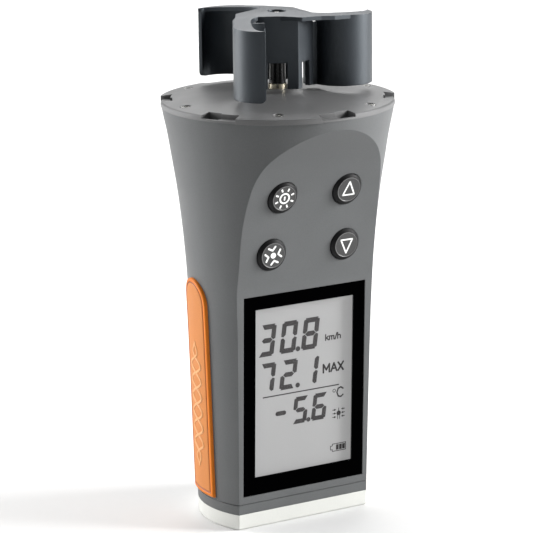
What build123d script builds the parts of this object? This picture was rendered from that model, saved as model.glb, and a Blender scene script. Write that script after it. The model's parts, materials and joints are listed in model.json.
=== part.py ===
from build123d import *
from functools import cache
import math
import os

# Hand-held three-cup anemometer. Millimetres, +Z up, origin on the rotor's axis at the
# bottom of the end cap, display facing -Y.

# Case: a flared round body with one flat side, cut across at these heights.
cap_top = 5.2
plate_top = 8.65
seam = 0.3
case_top = 135.3
wall = 2.2
body_radii = [
    (27.6, 0), (28.1, 20), (28.5, 36), (29.05, 57), (29.8, 77), (30.8, 92), (31.7, 101),
    (32.95, 111), (34.25, 119.3), (35.6, 127.6), (36.7, 133), (37.3, 138),
]
flat_depth = 13.5
flat_lean = 0.032
flat_top = 77.0
flare_depths = [(17.0, 85), (18.7, 96), (22.3, 110), (27.3, 121), (34.5, 130), (42, 138)]

# Display, in distances up the leaning flat face and in from it.
window_half = 22.45
window_low = 11.1
window_high = 77.5
window_thick = 0.9
mask_thick = 0.2
view_half = 18.9
view_low = 16.7
view_high = 73.0
opening_half = 19.2
opening_low = 15.2
opening_high = 74.6
lcd_half = 20.6
lcd_low = 14.0
lcd_high = 75.8
lcd_depth = 2.3
lcd_thick = 2.0
frame_half = 22.1
frame_low = 12.6
frame_high = 77.0
frame_depth = 7.9

# Buttons: place, surface depth, the lean of the cap's face and how far it stands out.
button_radius = 5.15
button_hole_radius = 5.3
button_chamfer = 0.95
button_proud = 1.35
stem_radius = 2.5
flange_radius = 6.2
flange_thick = 0.8
stem_tip = -13.35
button_rows = {"upper": (11.8, 110.0, 22.3, 14.0), "lower": (13.5, 91.0, 17.8, 7.0)}
flange_faces = {"upper": -17.5, "lower": -14.25}

# Circuit boards.
board_front = -6.0
board_back = -4.4
board_half = 22.0
board_low = 14.0
board_high = 121.0
keypad_front = -11.9
keypad_back = -10.5
keypad_half = 18.5
keypad_low = 84.5
keypad_high = 115.5
dome_top = -12.5
mat_thick = 0.5
post_places = [(-19.3, 80.0), (19.3, 80.0), (-14.0, 118.5), (14.0, 118.5)]
post_radius = 2.4
board_screw_radius = 0.9

# Batteries and their rear door.
cell_radius = 7.1
cell_x = 7.4
cell_y = 12.9
cell_low = 25.5
cell_high = 74.8
nub_high = 76.0
holder_half = 15.9
holder_front = 4.2
holder_back = 19.6
holder_low = 20.6
holder_floor = 22.0
holder_ceiling = 76.4
holder_high = 79.4
holder_skin = 1.2
door_half = 15.6
door_low = 19.2
door_high = 82.0
door_gap = 0.2
door_skin = 1.0
seal_skin = 0.45
ledge = 1.2
door_screw_height = 78.0
door_screw_radius = 1.0

# Side grips.
grip_proud = 0.95
grip_pocket = 0.8
grip_centre = 3.4
grip_half = 7.8
grip_low = 9.3
grip_shoulder = 73.4

# Top cover.
cover_radius = 37.3
cover_rim = 137.0
cover_peak = 140.4
cover_hollow_radius = 31.5
cover_hollow_top = 136.4
lip_radius = 38.0
lip_top = 137.0
notch_half_angle = 9.5
notch_radius = 34.2
notch_floor = 136.0
cover_screw_circle = 33.3
cover_screw_count = 6
cover_screw_radius = 0.9
cover_head_radius = 1.6
cover_head_low = 136.7
cover_head_top = 137.5

# Rotor and axle.
rotor_turn = -30.0
pin_radius = 1.0
sleeve_radius = 2.65
sleeve_bore = 1.04
sleeve_low = 142.0
sleeve_high = 163.3
pin_high = 164.5
collar_radius = 2.95
collar_top = 141.8
hub_inner = 9.24
hub_outer = 10.34
hub_low = 141.4
hub_skin = 1.6
hub_ceiling = 150.0
hub_slot_top = 149.6
hub_hole_radius = 2.95
hub_slot_half = 3.1
hub_side_slot_half = 2.4
rotor_top = 165.0
rotor_fall = 0.06
cup_low = 140.9
cup_x = -4.0
cup_y = -21.5
cup_radius = 9.8
cup_wall_thick = 1.2
cup_start = 90
cup_sweep = 182
cup_high = 163.1
cup_lip = 1.9
root_low = 162.9
root_x = -5.2
root_y = -11.6
root_wide = 6.4
root_deep = 4.8
rib_x = -4.3
rib_y = -10.3
rib_deep = 3.2
rib_high = 161.0
ring_radius = 2.4
web_thick = 1.3
magnet_radius = 6.2
magnet_thick = 3.0

# Base.
insert_radius = 4.4
insert_bore = 2.55
insert_low = 0.4
insert_high = 9.4
base_boss_circle = 23.0
base_boss_angles = [20, 160, 205, 335]
base_boss_radius = 3.0
base_boss_top = 12.2
base_screw_radius = 1.1
base_head_radius = 2.2

reach = 60.0
face_plane = Plane(origin=(0, -flat_depth, 0), x_dir=(1, 0, 0), z_dir=(0, -1, -flat_lean))
os.makedirs("parts", exist_ok=True)


def save(name, piece):
    piece.label = name
    export_step(piece, f"parts/{name}.step")


@cache
def body_form(inset, low, high):
    """The outer body between two heights, with its walls moved inwards by inset."""
    radii = [(r - inset, z) for r, z in body_radii]
    first_depth = flat_depth - inset
    knee = (-(flat_depth + flat_lean * flat_top - inset), flat_top)
    flare = [knee] + [(-(d - inset), z) for d, z in flare_depths]
    with BuildPart() as form:
        with BuildSketch(Plane.XZ):
            with BuildLine():
                side = Spline(*radii)
                Polyline(side @ 1, (0, radii[-1][1]), (0, 0), side @ 0)
            make_face()
        revolve(axis=Axis.Z)
        with BuildSketch(Plane.YZ):
            with BuildLine():
                flat = Line((-first_depth, 0), knee)
                curve = Spline(*flare, tangents=[(-flat_lean, 1), (-1, 0.9)])
                Polyline(curve @ 1, (reach, flare[-1][1]), (reach, 0), flat @ 0)
            make_face()
        extrude(amount=reach, both=True, mode=Mode.INTERSECT)
        with BuildSketch(Plane.XY.offset(low)):
            Rectangle(2 * reach, 2 * reach)
        extrude(amount=high - low, mode=Mode.INTERSECT)
    return form.part


def face_block(half, low, high, top_depth, bottom_depth):
    """A block parallel to the flat face, between two depths in from it."""
    with BuildPart() as block:
        with BuildSketch(face_plane.offset(-bottom_depth)):
            with Locations((0, (low + high) / 2)):
                Rectangle(2 * half, high - low)
        extrude(amount=bottom_depth - top_depth)
    return block.part


def rear_block(half, low, high):
    """A block through the rear wall, open along +Y."""
    with BuildPart() as block:
        with BuildSketch(Plane.XZ):
            with Locations((0, (low + high) / 2)):
                Rectangle(2 * half, high - low)
        extrude(amount=-reach)
    return block.part


def grip_prism(side):
    """The outline of a side grip, run out along X from the middle of the case."""
    half = grip_half
    low = grip_low
    with BuildPart() as prism:
        with BuildSketch(Plane.YZ):
            with BuildLine():
                top = CenterArc((grip_centre, grip_shoulder), half, 0, 180)
                Polyline(top @ 1, (grip_centre - half, low), (grip_centre + half, low), top @ 0)
            make_face()
        extrude(amount=side * reach)
    return prism.part


def annulus(outer, inner, low, high, centre=(0, 0)):
    """A plain ring or tube about a vertical axis."""
    with BuildPart() as ring:
        with BuildSketch(Plane.XY.offset(low)):
            with Locations(centre):
                Circle(outer)
                if inner > 0:
                    Circle(inner, mode=Mode.SUBTRACT)
        extrude(amount=high - low)
    return ring.part


def base_discs(radius, low, high):
    """One vertical cylinder at each base screw."""
    with BuildPart() as discs:
        with BuildSketch(Plane.XY.offset(low)):
            for angle in base_boss_angles:
                with PolarLocations(base_boss_circle, 1, angle):
                    Circle(radius)
        extrude(amount=high - low)
    return discs.part


def board_discs(radius, front, back):
    """One cylinder along Y at each board screw."""
    with BuildPart() as discs:
        with BuildSketch(Plane.XZ.offset(-back)):
            with Locations(*post_places):
                Circle(radius)
        extrude(amount=back - front)
    return discs.part


def button_places():
    """Name, x, height, surface depth, lean and flange face of each button."""
    upper = button_rows["upper"]
    lower = button_rows["lower"]
    return [
        ("power_button", -upper[0], *upper[1:], flange_faces["upper"]),
        ("up_button", upper[0], *upper[1:], flange_faces["upper"]),
        ("average_button", -lower[0], *lower[1:], flange_faces["lower"]),
        ("down_button", lower[0], *lower[1:], flange_faces["lower"]),
    ]


# ---- case --------------------------------------------------------------------------------
board_posts = board_discs(post_radius, -reach, board_front) & body_form(1.0, plate_top, case_top)
base_bosses = base_discs(base_boss_radius, plate_top, base_boss_top) & body_form(1.0, 0, 20)
case_outer = body_form(0, plate_top, case_top)
case_hollow = body_form(wall, plate_top, case_top)
left_pocket = grip_prism(-1) - body_form(grip_pocket, 0, case_top)
right_pocket = grip_prism(1) - body_form(grip_pocket, 0, case_top)
rear_recess = rear_block(door_half + door_gap, door_low - door_gap, door_high + door_gap)
rear_recess = rear_recess - body_form(door_skin + seal_skin, 0, case_top)
rear_opening = rear_block(door_half - ledge, door_low + ledge, door_high - ledge)

with BuildPart() as body_shell:
    add(case_outer)
    add(case_hollow, mode=Mode.SUBTRACT)
    add(board_posts)
    add(base_bosses)
    with BuildSketch(Plane.XY.offset(case_top - 6.3)):
        with PolarLocations(cover_screw_circle, cover_screw_count):
            Circle(2.3)
    extrude(amount=6.3)
    with BuildSketch(Plane.XY.offset(case_top - 6.3)):
        with PolarLocations(cover_screw_circle, cover_screw_count):
            Circle(cover_screw_radius)
    extrude(amount=6.3, mode=Mode.SUBTRACT)
    add(annulus(36.2, 35.1, case_top - 0.6, case_top), mode=Mode.SUBTRACT)
    add(board_discs(board_screw_radius, board_front - 5, board_front), mode=Mode.SUBTRACT)
    add(base_discs(base_screw_radius, plate_top, base_boss_top), mode=Mode.SUBTRACT)
    add(face_block(window_half + 0.1, window_low - 0.1, window_high + 0.1,
                   -2, window_thick + mask_thick + 0.1), mode=Mode.SUBTRACT)
    add(face_block(opening_half, opening_low, opening_high, 0, 4), mode=Mode.SUBTRACT)
    for _, x, z, depth, lean, flange in button_places():
        with BuildSketch(Plane.XZ.offset(keypad_front * -1)):
            with Locations((x, z)):
                Circle(button_hole_radius)
        extrude(amount=reach, mode=Mode.SUBTRACT)
    add(left_pocket, mode=Mode.SUBTRACT)
    add(right_pocket, mode=Mode.SUBTRACT)
    add(rear_recess, mode=Mode.SUBTRACT)
    add(rear_opening, mode=Mode.SUBTRACT)
save("body_shell", body_shell.part)

# ---- base --------------------------------------------------------------------------------
with BuildPart() as base_seal:
    add(body_form(0.6, plate_top - 0.6, plate_top))
    add(body_form(1.6, plate_top - 0.6, plate_top), mode=Mode.SUBTRACT)
save("base_seal", base_seal.part)

with BuildPart() as base_plate:
    add(body_form(0, cap_top, plate_top - seam))
    add(body_form(seam, plate_top - seam, plate_top))
    add(base_seal.part, mode=Mode.SUBTRACT)
    add(body_form(wall + 0.1, plate_top, 11.0))
    add(body_form(wall + 1.6, plate_top, 11.0), mode=Mode.SUBTRACT)
    add(base_discs(base_boss_radius + 0.3, plate_top, base_boss_top), mode=Mode.SUBTRACT)
    add(base_discs(base_screw_radius, cap_top, plate_top), mode=Mode.SUBTRACT)
    add(annulus(insert_radius + 1.6, 0, plate_top, insert_high))
    add(annulus(insert_radius, 0, cap_top, insert_high), mode=Mode.SUBTRACT)
save("base_plate", base_plate.part)

with BuildPart() as base_cap:
    add(body_form(0, 0, cap_top))
    add(body_form(2.4, 1.8, cap_top), mode=Mode.SUBTRACT)
    add(base_discs(base_head_radius + 0.9, 0, cap_top))
    add(annulus(insert_radius + 1.6, 0, 0, cap_top))
    add(annulus(insert_radius, 0, 0, cap_top), mode=Mode.SUBTRACT)
    add(base_discs(base_screw_radius, 0, cap_top), mode=Mode.SUBTRACT)
    add(base_discs(base_head_radius, 0, 2.0), mode=Mode.SUBTRACT)
    chamfer(base_cap.faces().sort_by(Axis.Z)[0].outer_wire().edges(), 0.5)
save("base_cap", base_cap.part)

with BuildPart() as base_screws:
    add(base_discs(base_head_radius - 0.1, 0.5, 2.0))
    add(base_discs(base_screw_radius, 2.0, base_boss_top - 0.4))
save("base_screws", base_screws.part)

with BuildPart() as tripod_insert:
    add(annulus(insert_radius, 0, insert_low, insert_high))
    with BuildSketch(Plane.XY.offset(insert_low)):
        Circle(insert_bore)
    extrude(amount=8.0, mode=Mode.SUBTRACT)
save("tripod_insert", tripod_insert.part)

# ---- display -----------------------------------------------------------------------------
with BuildPart() as display_window:
    add(face_block(window_half, window_low, window_high, 0.1, 0.1 + window_thick))
    fillet(display_window.edges().filter_by(Axis((0, 0, 0), (0, 1, flat_lean))), 0.8)
save("display_window", display_window.part)

with BuildPart() as window_mask:
    add(face_block(window_half, window_low, window_high, 1.0, 1.0 + mask_thick))
    add(face_block(view_half, view_low, view_high, 0.5, 2.0), mode=Mode.SUBTRACT)
save("window_mask", window_mask.part)

with BuildPart() as lcd_panel:
    add(face_block(lcd_half, lcd_low, lcd_high, lcd_depth, lcd_depth + lcd_thick))
save("lcd_panel", lcd_panel.part)

zebra_rows = [(14.2, 15.8), (74.0, 75.6)]
zebra_half = 18.0
with BuildPart() as zebra_connectors:
    for low, high in zebra_rows:
        with BuildSketch(Plane.XZ.offset(-board_front)):
            with Locations((0, (low + high) / 2)):
                Rectangle(2 * zebra_half, high - low)
        extrude(amount=12)
    add(face_block(reach, 0, 100, -5, lcd_depth + lcd_thick), mode=Mode.SUBTRACT)
save("zebra_connectors", zebra_connectors.part)

with BuildPart() as lcd_frame:
    add(face_block(frame_half, frame_low, frame_high, lcd_depth, frame_depth))
    add(face_block(lcd_half, lcd_low, lcd_high, lcd_depth, 6.8), mode=Mode.SUBTRACT)
    for low, high in zebra_rows:
        with BuildSketch(Plane.XZ):
            with Locations((0, (low + high) / 2)):
                Rectangle(2 * zebra_half + 0.4, high - low + 0.4)
        extrude(amount=14, mode=Mode.SUBTRACT)
save("lcd_frame", lcd_frame.part)

with BuildPart() as backlight_diffuser:
    add(face_block(lcd_half - 0.2, 17.0, 73.0, lcd_depth + lcd_thick, 6.8))
save("backlight_diffuser", backlight_diffuser.part)

# ---- keypad ------------------------------------------------------------------------------
with BuildPart() as keypad_board:
    with BuildSketch(Plane.XZ.offset(-keypad_back)):
        with Locations((0, (keypad_low + keypad_high) / 2)):
            Rectangle(2 * keypad_half, keypad_high - keypad_low)
    extrude(amount=keypad_back - keypad_front)
save("keypad_board", keypad_board.part)

with BuildPart() as keypad_mat:
    with BuildSketch(Plane.XZ.offset(-keypad_front)):
        with Locations((0, (keypad_low + keypad_high) / 2)):
            Rectangle(2 * keypad_half, keypad_high - keypad_low)
        with Locations(*[(x, z) for _, x, z, _, _, _ in button_places()]):
            Circle(4.4, mode=Mode.SUBTRACT)
    extrude(amount=mat_thick)
save("keypad_mat", keypad_mat.part)

with BuildPart() as dome_switches:
    for _, x, z, _, _, _ in button_places():
        with BuildSketch(Plane.XZ.offset(-keypad_front)):
            with Locations((x, z)):
                Circle(3.6)
        extrude(amount=keypad_front - dome_top, taper=30)
save("dome_switches", dome_switches.part)

with BuildPart() as keypad_spacers:
    with BuildSketch(Plane.XZ.offset(-board_front)):
        with GridLocations(30, 24, 2, 2):
            with Locations((0, (keypad_low + keypad_high) / 2)):
                Circle(1.8)
    extrude(amount=board_front - keypad_back)
save("keypad_spacers", keypad_spacers.part)


def make_button(x, z, depth, lean, flange):
    """A round cap with a bevelled shoulder, a retaining flange and a stem."""
    rise = math.radians(lean)
    crown = Plane(origin=(x, -(depth + button_proud), z), x_dir=(1, 0, 0),
                  z_dir=(0, -math.cos(rise), -math.sin(rise)))
    with BuildPart() as button:
        with BuildSketch(Plane.XZ.offset(-flange)):
            with Locations((x, z)):
                Circle(button_radius)
        extrude(amount=16)
        with BuildSketch(crown):
            Rectangle(reach, reach)
        extrude(amount=reach / 2, mode=Mode.SUBTRACT)
        crown_face = button.faces().sort_by(Axis.Y)[0]
        chamfer(crown_face.edges(), button_chamfer)
        with BuildSketch(Plane.XZ.offset(-flange)):
            with Locations((x, z)):
                Circle(flange_radius)
        extrude(amount=-flange_thick)
        with BuildSketch(Plane.XZ.offset(-stem_tip)):
            with Locations((x, z)):
                Circle(stem_radius)
        extrude(amount=stem_tip - flange)
    return button.part


for name, x, z, depth, lean, flange in button_places():
    save(name, make_button(x, z, depth, lean, flange))

# ---- main board --------------------------------------------------------------------------
with BuildPart() as main_board:
    with BuildSketch(Plane.XZ.offset(-board_back)):
        with Locations((0, (board_low + board_high) / 2)):
            Rectangle(2 * board_half, board_high - board_low)
        with Locations(*post_places):
            Circle(board_screw_radius + 0.1, mode=Mode.SUBTRACT)
    extrude(amount=board_back - board_front)
save("main_board", main_board.part)

with BuildPart() as board_screws:
    add(board_discs(board_screw_radius, board_front - 4.5, board_back))
    add(board_discs(1.9, board_back, board_back + 1.2))
save("board_screws", board_screws.part)

with BuildPart() as processor_chip:
    with BuildSketch(Plane.XZ.offset(-board_back)):
        with Locations((0, 91)):
            Rectangle(12, 12)
    extrude(amount=-1.6)
save("processor_chip", processor_chip.part)

with BuildPart() as ribbon_connector:
    with BuildSketch(Plane.XZ.offset(-board_back)):
        with Locations((0, 115)):
            Rectangle(12, 7)
    extrude(amount=-3.0)
save("ribbon_connector", ribbon_connector.part)

with BuildPart() as sensor_ribbon:
    with BuildSketch(Plane.XY.offset(118.5)):
        with Locations((0, -2.6)):
            Rectangle(10, 0.3)
    extrude(amount=127.8 - 118.5)
save("sensor_ribbon", sensor_ribbon.part)

# ---- batteries ---------------------------------------------------------------------------
with BuildPart() as battery_holder:
    with BuildSketch(Plane.XY.offset(holder_low)):
        with Locations((0, (holder_front + holder_back) / 2)):
            Rectangle(2 * holder_half, holder_back - holder_front)
    extrude(amount=holder_high - holder_low)
    with BuildSketch(Plane.XY.offset(holder_floor)):
        with Locations((0, (holder_front + holder_skin + reach) / 2)):
            Rectangle(2 * (holder_half - holder_skin), reach - holder_front - holder_skin)
    extrude(amount=holder_ceiling - holder_floor, mode=Mode.SUBTRACT)
    with BuildSketch(Plane.XZ.offset(-holder_front)):
        with Locations((-12, 27), (12, 27), (-12, 72), (12, 72)):
            Circle(2)
    extrude(amount=holder_front - board_back)
    with BuildSketch(Plane.XZ.offset(-holder_back)):
        with Locations((0, door_screw_height)):
            Circle(door_screw_radius + 0.1)
    extrude(amount=8, mode=Mode.SUBTRACT)
save("battery_holder", battery_holder.part)


def make_cell(x, nub_up):
    """One cylindrical cell with its positive nub at the top or the bottom."""
    low = cell_low if nub_up else cell_low + 1.2
    nub_low = cell_high if nub_up else cell_low
    with BuildPart() as cell:
        add(annulus(cell_radius, 0, low, low + cell_high - cell_low, (x, cell_y)))
        chamfer(cell.edges().filter_by(GeomType.CIRCLE), 0.5)
        add(annulus(2.6, 0, nub_low, nub_low + nub_high - cell_high, (x, cell_y)))
    return cell.part


save("battery_left", make_cell(-cell_x, True))
save("battery_right", make_cell(cell_x, False))

with BuildPart() as battery_springs:
    add(annulus(3.4, 2.6, holder_floor + 0.3, cell_low, (-cell_x, cell_y)))
    add(annulus(3.4, 2.6, holder_floor + 0.3, cell_low, (cell_x, cell_y)))
save("battery_springs", battery_springs.part)

with BuildPart() as battery_contacts:
    with BuildSketch(Plane.XY.offset(holder_floor)):
        with Locations((0, cell_y)):
            Rectangle(26, 10)
    extrude(amount=0.3)
    with BuildSketch(Plane.XY.offset(nub_high)):
        with Locations((-cell_x, cell_y), (cell_x, cell_y)):
            Rectangle(11, 10)
    extrude(amount=holder_ceiling - nub_high)
save("battery_contacts", battery_contacts.part)

plug_half = door_half - ledge - door_gap
plug_low = door_low + ledge + door_gap
plug_high = door_high - ledge - door_gap
with BuildPart() as battery_cover:
    add(rear_block(door_half, door_low, door_high))
    add(body_form(0, 0, case_top), mode=Mode.INTERSECT)
    add(body_form(door_skin, 0, case_top), mode=Mode.SUBTRACT)
    add((rear_block(plug_half, plug_low, plug_high) & body_form(door_skin, 0, case_top))
        - body_form(wall, 0, case_top))
    with BuildSketch(Plane.XZ):
        with Locations((0, door_screw_height)):
            Circle(door_screw_radius)
    extrude(amount=-reach, mode=Mode.SUBTRACT)
    with BuildSketch(Plane.XZ.offset(-28.8)):
        with Locations((0, door_screw_height)):
            Circle(2.1)
    extrude(amount=-5, mode=Mode.SUBTRACT)
save("battery_cover", battery_cover.part)

with BuildPart() as battery_cover_seal:
    add(rear_block(door_half, door_low, door_high))
    add(body_form(door_skin, 0, case_top), mode=Mode.INTERSECT)
    add(body_form(door_skin + seal_skin, 0, case_top), mode=Mode.SUBTRACT)
    add(rear_block(plug_half, plug_low, plug_high), mode=Mode.SUBTRACT)
save("battery_cover_seal", battery_cover_seal.part)

with BuildPart() as battery_cover_screw:
    with BuildSketch(Plane.XZ.offset(-13.0)):
        with Locations((0, door_screw_height)):
            Circle(door_screw_radius)
    extrude(amount=-15.8)
    with BuildSketch(Plane.XZ.offset(-28.8)):
        with Locations((0, door_screw_height)):
            Circle(2.0)
            Rectangle(3.0, 0.6, mode=Mode.SUBTRACT)
    extrude(amount=-0.8)
save("battery_cover_screw", battery_cover_screw.part)


# ---- grips -------------------------------------------------------------------------------
def make_grip(side):
    """A rubber pad that sits in a shallow side pocket and stands a little proud."""
    with BuildPart() as grip:
        add(grip_prism(side))
        add(body_form(-grip_proud, 0, case_top), mode=Mode.INTERSECT)
        add(body_form(grip_pocket, 0, case_top), mode=Mode.SUBTRACT)
    return grip.part


save("left_grip", make_grip(-1))
save("right_grip", make_grip(1))


# ---- top cover ---------------------------------------------------------------------------
def ring_sector(inner, outer, start, sweep, low, high):
    """A piece of a ring between two angles."""
    with BuildPart() as sector:
        with BuildSketch(Plane.XY.offset(low)):
            with BuildLine():
                far = CenterArc((0, 0), outer, start, sweep)
                near = CenterArc((0, 0), inner, start, sweep)
                Line(near @ 0, far @ 0)
                Line(near @ 1, far @ 1)
            make_face()
        extrude(amount=high - low)
    return sector.part


with BuildPart() as top_cover:
    with BuildSketch(Plane.XZ):
        with BuildLine():
            dome = ThreePointArc((cover_radius - 0.4, cover_rim + 0.1), (20, 139.15), (0, cover_peak))
            Polyline(dome @ 1, (0, cover_hollow_top), (cover_hollow_radius, cover_hollow_top),
                     (cover_hollow_radius, case_top), (cover_radius, case_top),
                     (cover_radius, cover_rim - 0.3), dome @ 0)
        make_face()
    revolve(axis=Axis.Z)
    add(annulus(30.8, 29.2, 132.4, cover_hollow_top))
    add(annulus(4.5, 0, 130.0, cover_hollow_top))
    for angle in (90, 210, 330):
        add(annulus(2.0, 0, 129.0, cover_hollow_top,
                    (12 * math.cos(math.radians(angle)), 12 * math.sin(math.radians(angle)))))
    for angle in (90, 210, 330):
        add(ring_sector(36.5, lip_radius, angle + notch_half_angle, 60 - 2 * notch_half_angle,
                        case_top, lip_top))
    for index in range(6):
        middle = 30 + 60 * index
        add(ring_sector(notch_radius, 40, middle - notch_half_angle, 2 * notch_half_angle,
                        notch_floor, 141), mode=Mode.SUBTRACT)
        deep_start = middle - notch_half_angle if index % 2 else middle + 1.0
        add(ring_sector(notch_radius - 0.6, 36.4, deep_start, notch_half_angle - 1.0,
                        case_top + 0.1, 141), mode=Mode.SUBTRACT)
    with BuildSketch(Plane.XY.offset(case_top)):
        with PolarLocations(cover_screw_circle, cover_screw_count):
            Circle(cover_screw_radius + 0.1)
    extrude(amount=6, mode=Mode.SUBTRACT)
    with BuildSketch(Plane.XY.offset(cover_head_low)):
        with PolarLocations(cover_screw_circle, cover_screw_count):
            Circle(cover_head_radius + 0.15)
    extrude(amount=5, mode=Mode.SUBTRACT)
    add(annulus(collar_radius, 0, 139.0, 141), mode=Mode.SUBTRACT)
    add(annulus(2.0, 0, 130.0, 139.0), mode=Mode.SUBTRACT)
save("top_cover", top_cover.part)

with BuildPart() as top_seal:
    add(annulus(36.15, 35.15, case_top - 0.6, case_top))
save("top_seal", top_seal.part)

with BuildPart() as top_cover_screws:
    with BuildSketch(Plane.XY.offset(cover_head_low)):
        with PolarLocations(cover_screw_circle, cover_screw_count):
            Circle(cover_head_radius)
    extrude(amount=cover_head_top - cover_head_low)
    with BuildSketch(Plane.XY.offset(cover_head_top - 0.5)):
        with PolarLocations(cover_screw_circle, cover_screw_count):
            RegularPolygon(0.75, 6)
    extrude(amount=1, mode=Mode.SUBTRACT)
    with BuildSketch(Plane.XY.offset(cover_head_low)):
        with PolarLocations(cover_screw_circle, cover_screw_count):
            Circle(cover_screw_radius)
    extrude(amount=-6.5)
save("top_cover_screws", top_cover_screws.part)

with BuildPart() as sensor_board:
    with BuildSketch(Plane.XY.offset(127.8)):
        Circle(16)
    extrude(amount=1.2)
save("sensor_board", sensor_board.part)

with BuildPart() as hall_sensor:
    with BuildSketch(Plane.XY.offset(129.0)):
        with Locations((8, 0)):
            Rectangle(3, 4)
    extrude(amount=1.5)
save("hall_sensor", hall_sensor.part)

with BuildPart() as temperature_sensor:
    add(annulus(1.2, 0, 129.0, 133.0, (0, -13.5)))
save("temperature_sensor", temperature_sensor.part)

# ---- axle --------------------------------------------------------------------------------
with BuildPart() as axle_bush:
    add(annulus(2.0, pin_radius, 130.0, 139.0))
save("axle_bush", axle_bush.part)

with BuildPart() as axle_collar:
    add(annulus(collar_radius, 1.5, 139.0, collar_top))
    with BuildSketch(Plane.XY.offset(140.4)):
        with PolarLocations(0, 3, 0, 180):
            Rectangle(8, 0.7)
    extrude(amount=5, mode=Mode.SUBTRACT)
save("axle_collar", axle_collar.part)

with BuildPart() as axle_pin:
    add(annulus(pin_radius, 0, 130.0, pin_high))
    chamfer(axle_pin.edges().group_by(Axis.Z)[-1], 0.25)
save("axle_pin", axle_pin.part)

with BuildPart() as retaining_ring:
    add(annulus(ring_radius, pin_radius, sleeve_high + 0.15, sleeve_high + 0.75))
save("retaining_ring", retaining_ring.part)

# ---- rotor -------------------------------------------------------------------------------
with BuildPart() as rotor_sleeve:
    add(annulus(sleeve_radius, sleeve_bore, sleeve_low, sleeve_high))
save("rotor_sleeve", rotor_sleeve.part)


def rotor_level(height, angle):
    """A horizontal plane in the rotor's own directions, turned by angle."""
    turned = math.radians(rotor_turn + angle)
    return Plane(origin=(0, 0, height), x_dir=(math.cos(turned), math.sin(turned), 0),
                 z_dir=(0, 0, 1))


def web_plan():
    """Plan of one arm: from the hub out round the cup's back, with a bite over the cup."""
    with BuildSketch() as plan:
        with BuildLine():
            rim = CenterArc((cup_x, cup_y), cup_radius, 165, 107)
            Polyline(rim @ 0, (-13.9, -13.0), (-13.1, -8.5), (-13.0, -1.5), (-4.8, 8.1), (0, 0),
                     (-4.6, -8.2))
            Spline((-4.6, -8.2), (-7.2, -10.8), (-8.1, -17.6), (-7.6, -24.0), (-6.6, -28.0),
                   rim @ 1)
        make_face()
    return plan.sketch


def wall_plan():
    """Plan of one cup's upright wall, about half a circle."""
    with BuildSketch() as plan:
        with BuildLine():
            rim = CenterArc((cup_x, cup_y), cup_radius, cup_start, cup_sweep)
            inner = CenterArc((cup_x, cup_y), cup_radius - cup_wall_thick, cup_start, cup_sweep)
            Line(rim @ 0, inner @ 0)
            Line(rim @ 1, inner @ 1)
        make_face()
    return plan.sketch


def axis_distance(edge):
    """How far an edge's middle is from the rotor's axis."""
    middle = edge.center()
    return math.hypot(middle.X, middle.Y)


def hub_plan(inset):
    """Plan of the hub: three long faces and three shorter ones between them."""
    with BuildSketch() as plan:
        RegularPolygon(hub_inner - inset, 3, major_radius=False, rotation=90)
        RegularPolygon(hub_outer - inset, 3, major_radius=False, rotation=270,
                       mode=Mode.INTERSECT)
    return plan.sketch


def top_cone(drop):
    """Everything under the rotor's shallow conical top, lowered by drop."""
    with BuildPart() as cone:
        with BuildSketch(Plane.XZ):
            Polygon((0, cup_low), (reach, cup_low), (reach, rotor_top - drop - rotor_fall * reach),
                    (0, rotor_top - drop), align=None)
        revolve(axis=Axis.Z)
    return cone.part


with BuildPart() as cup_wall:
    with BuildSketch(rotor_level(cup_low, 0)):
        add(wall_plan())
    extrude(amount=cup_high - cup_low)
    corners = edges().filter_by(lambda e: abs(e.length - cup_wall_thick) < 0.02)
    fillet(corners.sort_by(axis_distance)[-2:], cup_lip)
    with BuildSketch(rotor_level(root_low, 0)):
        with Locations((root_x, root_y)):
            Rectangle(root_wide, root_deep)
    extrude(amount=reach, mode=Mode.SUBTRACT)
    with BuildSketch(rotor_level(cup_low, 0)):
        with Locations((rib_x, rib_y)):
            Rectangle(cup_wall_thick, rib_deep)
    extrude(amount=rib_high - cup_low)

with BuildPart() as under_web:
    add(top_cone(web_thick))
    with BuildSketch(rotor_level(cup_low, 0)):
        add(hub_plan(0))
    extrude(amount=reach, mode=Mode.SUBTRACT)

with BuildPart() as rotor:
    with BuildSketch(rotor_level(cup_low, 0)):
        add(hub_plan(0))
    extrude(amount=reach)
    for turn in (0, 120, 240):
        with BuildSketch(rotor_level(cup_low, turn)):
            add(web_plan())
        extrude(amount=reach)
    add(top_cone(0), mode=Mode.INTERSECT)
    add(under_web.part, mode=Mode.SUBTRACT)
    with BuildSketch(rotor_level(cup_low, 0)):
        add(hub_plan(0))
    extrude(amount=hub_low - cup_low, mode=Mode.SUBTRACT)
    with BuildSketch(rotor_level(hub_low, 0)):
        add(hub_plan(hub_skin))
    extrude(amount=hub_ceiling - hub_low, mode=Mode.SUBTRACT)
    for turn in (0, 120, 240):
        with BuildSketch(rotor_level(hub_low, turn)):
            with Locations((0, -reach / 2)):
                Rectangle(2 * hub_slot_half, reach)
        extrude(amount=hub_slot_top - hub_low, mode=Mode.SUBTRACT)
        with BuildSketch(rotor_level(hub_low, turn + 60)):
            with Locations((0, -reach / 2)):
                Rectangle(2 * hub_side_slot_half, reach)
        extrude(amount=hub_slot_top - hub_low, mode=Mode.SUBTRACT)
    for turn in (0, 120, 240):
        add(cup_wall.part.rotate(Axis.Z, turn))
    with BuildSketch(rotor_level(hub_ceiling, 0)):
        Circle(magnet_radius)
    extrude(amount=magnet_thick, mode=Mode.SUBTRACT)
    with BuildSketch(rotor_level(hub_ceiling, 0)):
        Circle(sleeve_radius)
    extrude(amount=sleeve_high - hub_ceiling, mode=Mode.SUBTRACT)
    with BuildSketch(rotor_level(sleeve_high, 0)):
        Circle(hub_hole_radius)
    extrude(amount=reach, mode=Mode.SUBTRACT)
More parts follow.
